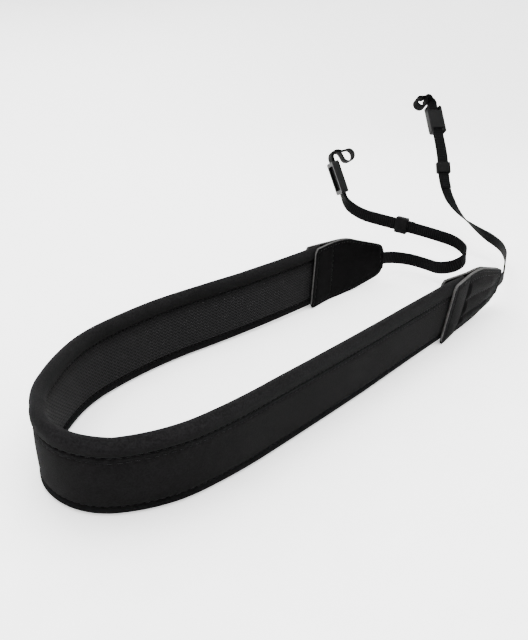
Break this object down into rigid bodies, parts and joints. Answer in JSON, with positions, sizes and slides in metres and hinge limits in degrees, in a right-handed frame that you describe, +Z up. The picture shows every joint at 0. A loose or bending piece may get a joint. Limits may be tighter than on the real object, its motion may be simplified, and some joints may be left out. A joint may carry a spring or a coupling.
{
  "type": "camera neck strap",
  "caption": "Padded neoprene camera neck strap standing on its long edge in a U, with leather tabs and narrow webbing that runs through keepers and slider buckles to a lug loop on each side.",
  "frame": {"origin": "under the middle of the strap's box, on the surface the strap stands on", "axes": "+Y along the two limbs of the U, from the bend towards the lug loops; +X from the left limb to the right one; +Z up, away from the surface"},
  "size_m": [0.1902, 0.5284, 0.1332],
  "materials": {
    "neoprene": "black knit-faced neoprene, matt",
    "air_mesh": "black spacer mesh with fine rows of holes",
    "leather": "black grained leather with a soft sheen",
    "nylon": "black ribbed nylon webbing",
    "rubber": "matt black",
    "plastic": "black, satin"
  },
  "bodies": {
    "root": {"pad_face_panel": "neoprene", "pad_mesh_panel": "air_mesh", "pad_top_edge": "neoprene", "pad_bottom_edge": "neoprene", "left_tab_outer_leaf": "leather", "left_tab_inner_leaf": "leather", "right_tab_outer_leaf": "leather", "right_tab_inner_leaf": "leather", "left_webbing": "nylon", "right_webbing": "nylon", "left_keeper": "rubber", "right_keeper": "rubber", "left_slider_buckle": "plastic", "right_slider_buckle": "plastic"}
  },
  "joints": []
}
